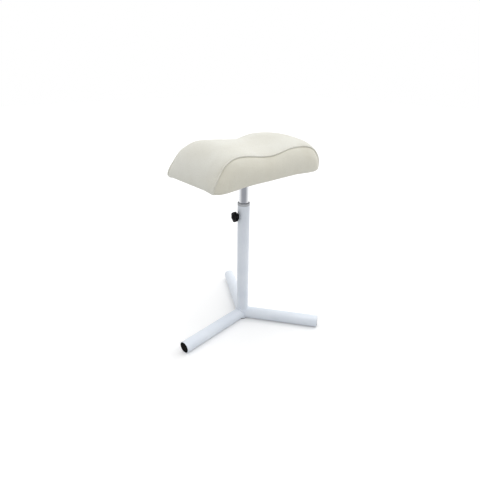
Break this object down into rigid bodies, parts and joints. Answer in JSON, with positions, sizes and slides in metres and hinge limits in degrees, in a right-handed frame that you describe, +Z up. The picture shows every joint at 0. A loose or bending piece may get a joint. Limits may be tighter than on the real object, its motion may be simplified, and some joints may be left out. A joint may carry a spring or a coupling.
{
  "type": "leg rest stool",
  "caption": "Leg rest with a two-hump saddle cushion on a telescoping post, a clamping hand knob and a welded three-leg tube base.",
  "frame": {"origin": "on the column's axis, at floor level, in the flat face of the column's foot plug", "axes": "+Z up along the column; +X along the cushion's length, across both humps; +Y to the cushion's back"},
  "size_m": [0.3969, 0.3828, 0.518],
  "materials": {
    "white_paint": "semi-gloss powder coat",
    "black_plastic": "moulded",
    "grey_plastic": "moulded",
    "white_nylon": "moulded",
    "chrome_plate": "polished plating",
    "zinc_plate": "zinc-plated",
    "plywood": "sanded",
    "foam": "open-cell foam",
    "leatherette": "fine grained vinyl",
    "dust_cloth": "non-woven"
  },
  "bodies": {
    "base": {"front_leg": "white_paint", "rear_leg": "white_paint", "left_leg": "white_paint", "front_leg_plug": "black_plastic", "rear_leg_plug": "black_plastic", "left_leg_plug": "black_plastic", "column_tube": "white_paint", "column_foot_plug": "black_plastic", "column_bush": "grey_plastic", "clamp_nut": "white_paint", "hub_weld": "white_paint"},
    "clamp_button": {"clamp_tip": "white_nylon"},
    "clamp_knob": {"clamp_screw": "zinc_plate", "knob": "black_plastic"},
    "glide": {"post_glide": "white_nylon"},
    "seat": {"post_tube": "chrome_plate", "post_end_plug": "black_plastic", "post_flange": "chrome_plate", "flange_screws": "zinc_plate", "tee_nuts": "zinc_plate", "seat_board": "plywood", "foam_core": "foam", "cover_top": "leatherette", "cover_front": "leatherette", "cover_back": "leatherette", "piping_front": "leatherette", "piping_back": "leatherette", "dust_cloth": "dust_cloth", "staples": "zinc_plate"}
  },
  "joints": [
    {"name": "seat_height", "type": "slide", "parent": "base", "child": "glide", "axis": [0, 0, 1], "range_m": [-0.07, 0.12]},
    {"name": "seat_swivel", "type": "hinge", "parent": "glide", "child": "seat", "pos_m": [0, 0, 0.35], "axis": [0, 0, 1], "continuous": true},
    {"name": "clamp_travel", "type": "slide", "parent": "base", "child": "clamp_button", "axis": [-0.9781, 0.2079, 0], "range_m": [0, 0.0038]},
    {"name": "clamp_turn", "type": "hinge", "parent": "clamp_button", "child": "clamp_knob", "pos_m": [0, 0, 0.321], "axis": [-0.9781, 0.2079, 0], "range_deg": [0, 1080]}
  ],
  "couplings": [
    {"joint": "clamp_travel", "follows": "clamp_turn", "m_per_rad": 0.00019894}
  ]
}
